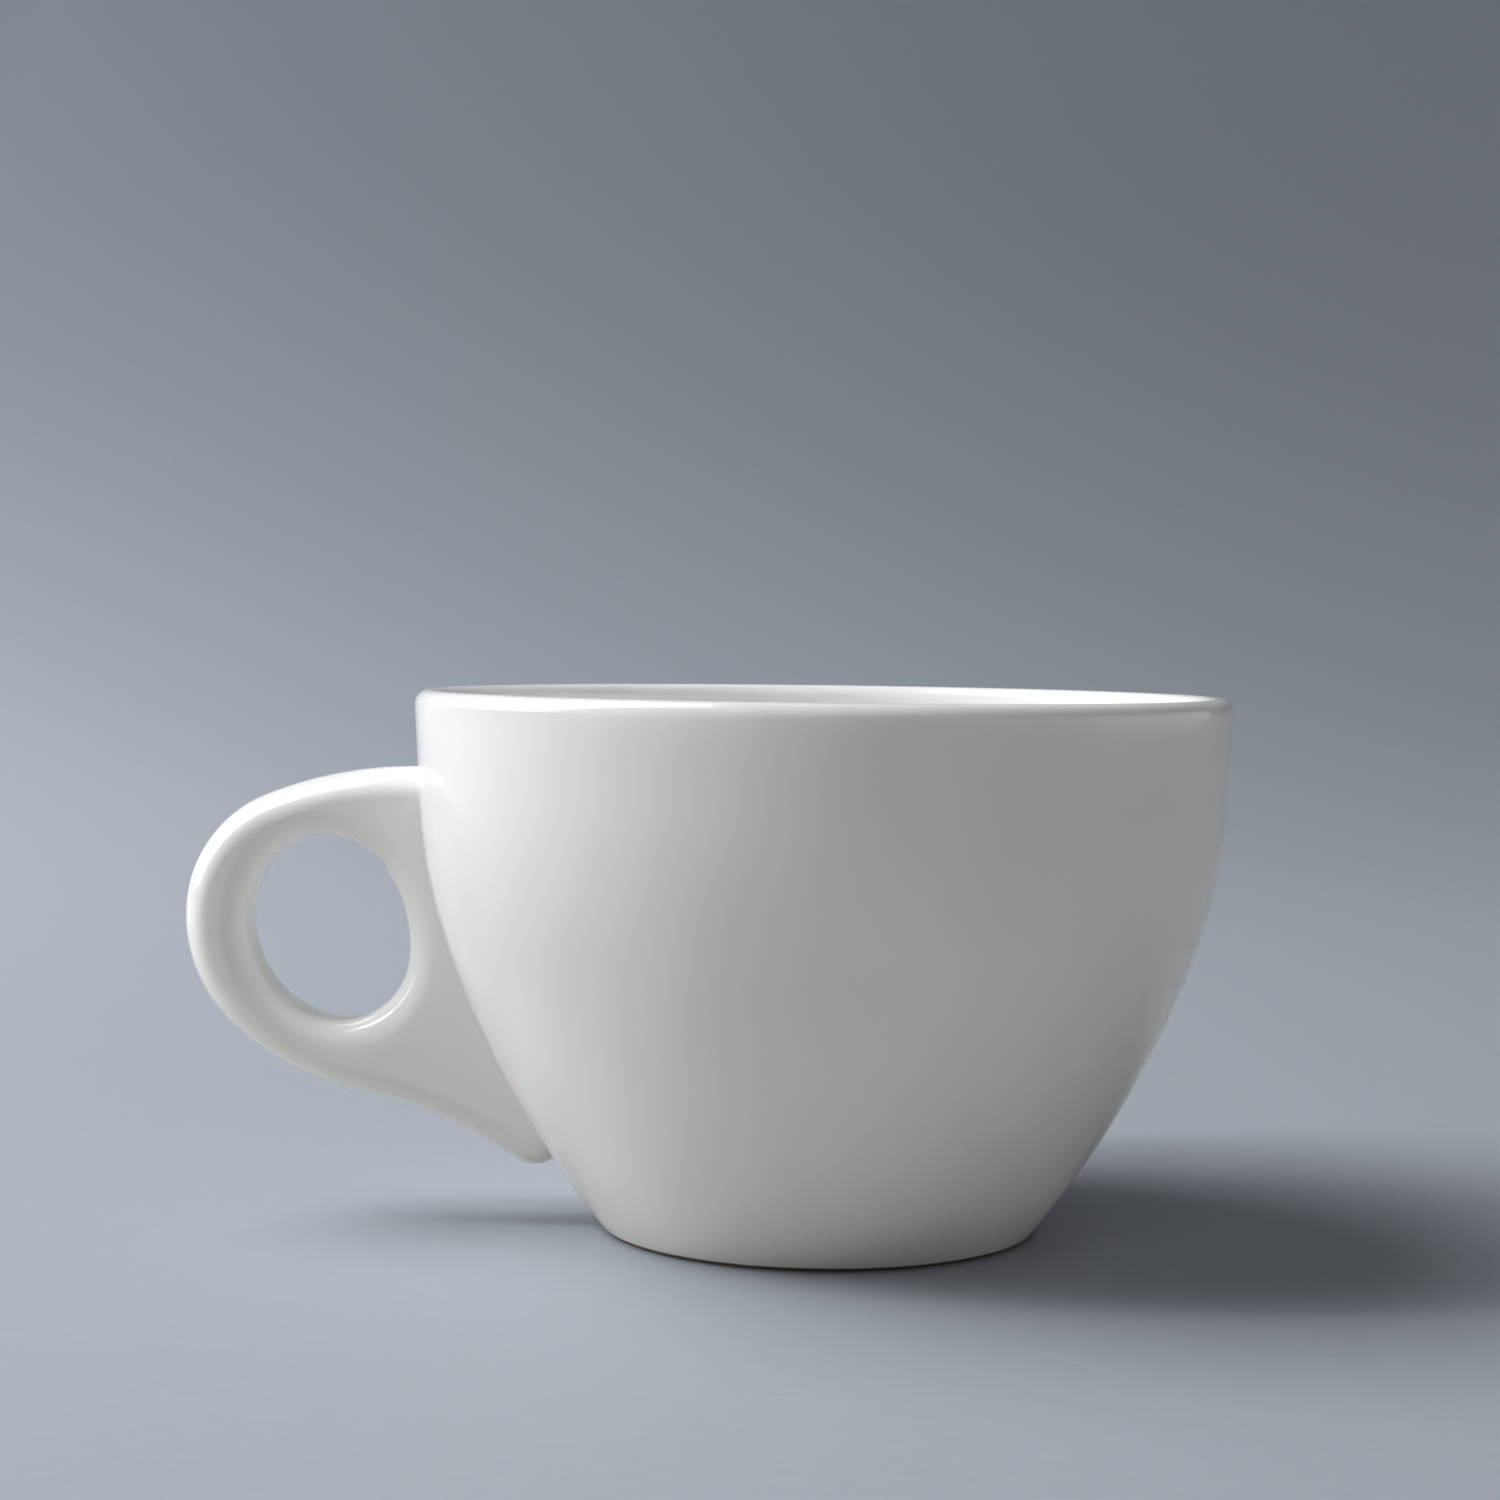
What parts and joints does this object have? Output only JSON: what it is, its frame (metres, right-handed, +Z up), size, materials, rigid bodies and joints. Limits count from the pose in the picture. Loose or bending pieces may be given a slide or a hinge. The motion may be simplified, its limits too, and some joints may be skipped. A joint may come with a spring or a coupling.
{
  "type": "cappuccino cup",
  "caption": "Round white porcelain cappuccino cup with a flared bowl, rounded lip, foot ring and a closed ring handle luted to its side.",
  "frame": {"origin": "centre of the foot on the table, on the bowl's axis", "axes": "+Z up along the bowl's axis, -X toward the handle, +Y away from the viewer of the picture"},
  "size_m": [0.1185, 0.092, 0.0608],
  "materials": {
    "glazed_bowl": "clear gloss glaze over white porcelain, bare on the foot ring",
    "glazed_handle": "clear gloss glaze over white cast porcelain",
    "glazed_slip": "porcelain slip fired under the same clear glaze"
  },
  "bodies": {
    "root": {"bowl": "glazed_bowl", "handle": "glazed_handle", "handle_slip": "glazed_slip"}
  },
  "joints": []
}
